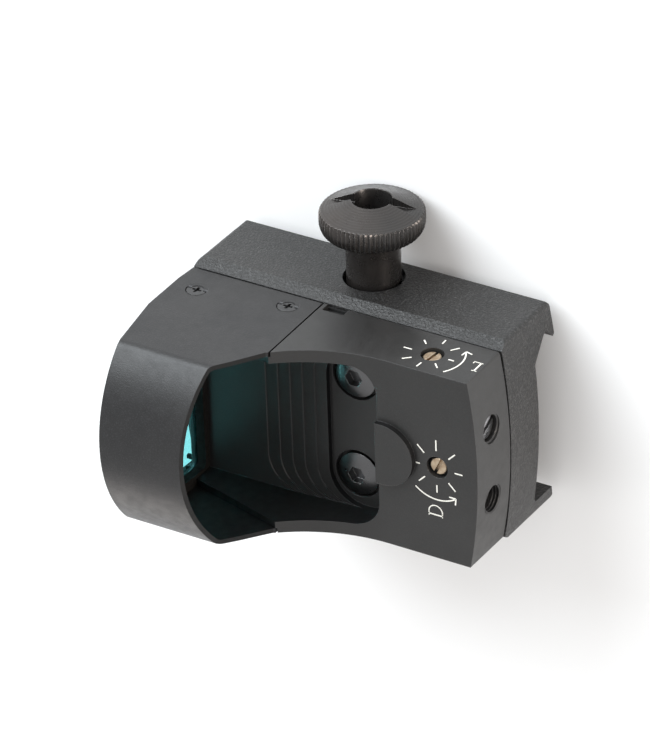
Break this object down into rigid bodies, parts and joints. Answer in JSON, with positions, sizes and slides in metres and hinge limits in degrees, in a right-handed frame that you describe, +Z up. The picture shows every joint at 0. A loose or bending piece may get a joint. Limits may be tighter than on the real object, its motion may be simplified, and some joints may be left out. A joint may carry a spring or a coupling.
{
  "type": "open reflex red dot sight",
  "caption": "Compact open reflex red dot sight with a lens hood, elevation and windage screws, and a thumb-screw clamp base for a 21 mm rail.",
  "frame": {"origin": "centre of the rail seat, the flat floor of the clamp's channel, midway between its ends and on the rail's centre line", "axes": "+X forward, towards the lens; +Y to the user's left; +Z up, away from the rail"},
  "size_m": [0.0444, 0.0377, 0.0364],
  "materials": {
    "blasted_black": "sand-blasted matt black anodised",
    "satin_black": "satin black anodised",
    "hood_black": "fine matt black finish on formed aluminium",
    "frame_black": "matt black inside the hood",
    "blued_steel": "dark blued, turned and knurled",
    "black_steel": "black oxide screws",
    "spring_steel": "bright spring steel",
    "brass": "machined, slightly dull",
    "coated_glass": "reflective cyan coating",
    "clear_plastic": "red-tinted clear window",
    "seal_rubber": "matt black",
    "slide_plastic": "glass-filled nylon",
    "pad_nylon": "natural nylon",
    "led_red": "red tinted emitter",
    "board_green": "solder mask",
    "chip_black": "moulded package",
    "contact_metal": "gilt spring strip",
    "cell_steel": "nickel-plated can"
  },
  "bodies": {
    "sight": {"rail_mount": "blasted_black", "spring_washer": "spring_steel", "base_gasket": "seal_rubber", "locating_pins": "spring_steel", "sight_body": "satin_black", "chamber_cover": "slide_plastic", "lens_hood": "hood_black", "hood_screws": "black_steel", "lens_frame": "frame_black", "lens": "coated_glass", "lens_seal": "seal_rubber", "mounting_screws": "black_steel", "emitter_window": "clear_plastic", "light_sensor": "chip_black", "elevation_spring": "spring_steel", "windage_spring": "spring_steel", "circuit_board": "board_green", "driver_chips": "chip_black", "battery_contact_top": "contact_metal", "battery_contact_bottom": "contact_metal", "coin_battery": "cell_steel"},
    "thumb_screw": {"thumb_screw": "blued_steel"},
    "clamp_jaw": {"clamp_jaw": "blasted_black"},
    "elevation_slide": {"elevation_slide": "slide_plastic"},
    "elevation_screw": {"elevation_screw": "brass"},
    "windage_slide": {"windage_slide": "slide_plastic", "led_emitter": "led_red"},
    "windage_pad": {"windage_pad": "pad_nylon"},
    "windage_screw": {"windage_screw": "brass"},
    "lock_pad_right": {"lock_pad_right": "pad_nylon"},
    "lock_screw_right": {"lock_screw_right": "spring_steel"},
    "lock_pad_left": {"lock_pad_left": "pad_nylon"},
    "lock_screw_left": {"lock_screw_left": "spring_steel"}
  },
  "joints": [
    {"name": "thumb_screw_turn", "type": "hinge", "parent": "sight", "child": "thumb_screw", "pos_m": [0.0002, 0, -0.0003], "axis": [0, -1, 0], "range_deg": [0, 540]},
    {"name": "jaw_travel", "type": "slide", "parent": "sight", "child": "clamp_jaw", "axis": [0, 1, 0], "range_m": [0, 0.0012]},
    {"name": "elevation_turn", "type": "hinge", "parent": "elevation_slide", "child": "elevation_screw", "pos_m": [-0.0168, 0, 0.0138], "axis": [0, 0, 1], "range_deg": [-360, 360]},
    {"name": "elevation_travel", "type": "slide", "parent": "sight", "child": "elevation_slide", "axis": [0, 0, 1], "range_m": [-0.0004, 0.0004], "deforming": ["elevation_spring"]},
    {"name": "windage_travel", "type": "slide", "parent": "elevation_slide", "child": "windage_slide", "axis": [0, 1, 0], "range_m": [-0.0004, 0.0004], "deforming": ["windage_spring"]},
    {"name": "windage_pad_travel", "type": "slide", "parent": "sight", "child": "windage_pad", "axis": [0, 1, 0], "range_m": [-0.0004, 0.0004]},
    {"name": "windage_turn", "type": "hinge", "parent": "windage_pad", "child": "windage_screw", "pos_m": [-0.01425, 0, 0.0107], "axis": [0, -1, 0], "range_deg": [-360, 360]},
    {"name": "lock_right_travel", "type": "slide", "parent": "sight", "child": "lock_pad_right", "axis": [1, 0, 0], "range_m": [-0.00025, 0.00025]},
    {"name": "lock_right_turn", "type": "hinge", "parent": "lock_pad_right", "child": "lock_screw_right", "pos_m": [-0.0213, -0.0048, 0.01075], "axis": [-1, 0, 0], "range_deg": [-180, 180]},
    {"name": "lock_left_travel", "type": "slide", "parent": "sight", "child": "lock_pad_left", "axis": [1, 0, 0], "range_m": [-0.00025, 0.00025]},
    {"name": "lock_left_turn", "type": "hinge", "parent": "lock_pad_left", "child": "lock_screw_left", "pos_m": [-0.0206, 0.0048, 0.01075], "axis": [-1, 0, 0], "range_deg": [-180, 180]}
  ],
  "couplings": [
    {"joint": "thumb_screw_turn", "follows": "jaw_travel", "rad_per_m": 7854},
    {"joint": "elevation_turn", "follows": "elevation_travel", "rad_per_m": 15708},
    {"joint": "windage_turn", "follows": "windage_travel", "rad_per_m": -15708},
    {"joint": "windage_pad_travel", "follows": "windage_travel", "ratio": 1},
    {"joint": "lock_right_turn", "follows": "lock_right_travel", "rad_per_m": -12566},
    {"joint": "lock_left_turn", "follows": "lock_left_travel", "rad_per_m": -12566}
  ]
}
